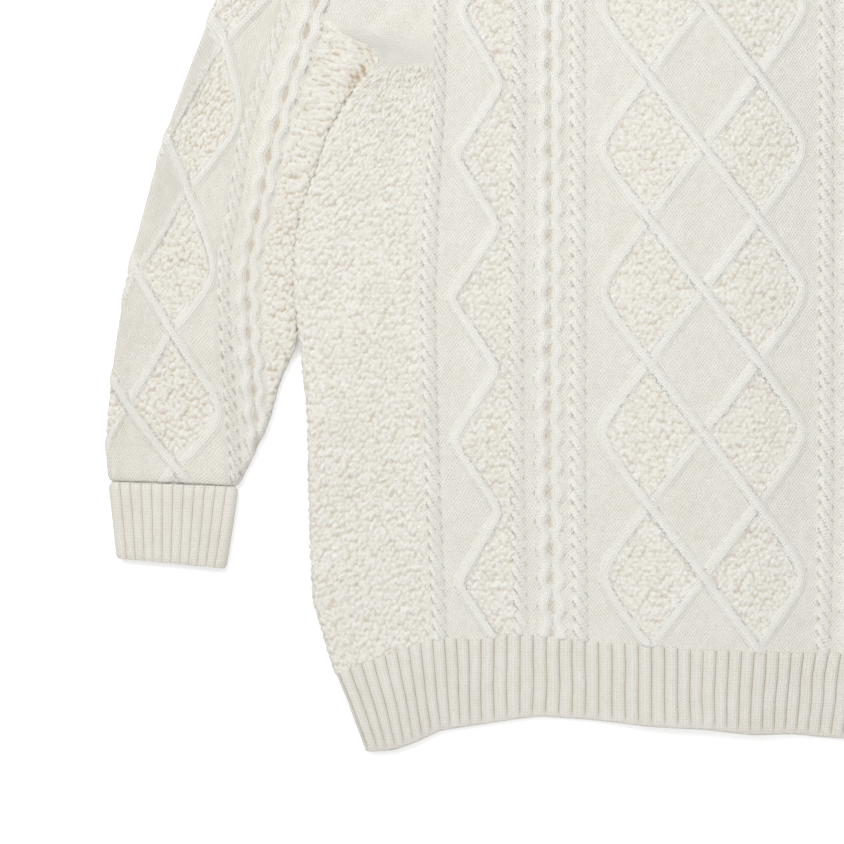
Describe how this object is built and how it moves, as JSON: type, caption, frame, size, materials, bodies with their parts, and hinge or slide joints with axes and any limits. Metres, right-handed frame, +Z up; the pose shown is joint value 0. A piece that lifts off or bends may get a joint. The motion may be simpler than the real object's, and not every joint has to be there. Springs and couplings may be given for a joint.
{
  "type": "cable knit cardigan laid flat",
  "caption": "Cream cable knit cardigan, buttoned and laid face down, with a lattice and cables on its back, ribbed hem, cuffs, neckband and front bands.",
  "frame": {"origin": "under the middle of the whole garment, on the surface it lies on", "axes": "+Z up from the surface, out of the garment's back; +Y from the hem to the collar; +X across, towards the wearer's right sleeve"},
  "size_m": [0.798, 0.7432, 0.0134],
  "materials": {
    "cable_knit": "matte wool knit with cables",
    "rib_knit": "matte wool two-by-two rib",
    "button": "satin horn-like plastic"
  },
  "bodies": {
    "root": {"back": "cable_knit", "back_hem_rib": "rib_knit", "left_front": "cable_knit", "left_hem_rib": "rib_knit", "left_sleeve": "cable_knit", "left_cuff": "rib_knit", "right_front": "cable_knit", "right_hem_rib": "rib_knit", "right_sleeve": "cable_knit", "right_cuff": "rib_knit", "neckband": "rib_knit", "buttonhole_band": "rib_knit", "button_band": "rib_knit", "button_1": "button", "button_2": "button", "button_3": "button", "button_4": "button", "button_5": "button", "button_6": "button"}
  },
  "joints": []
}
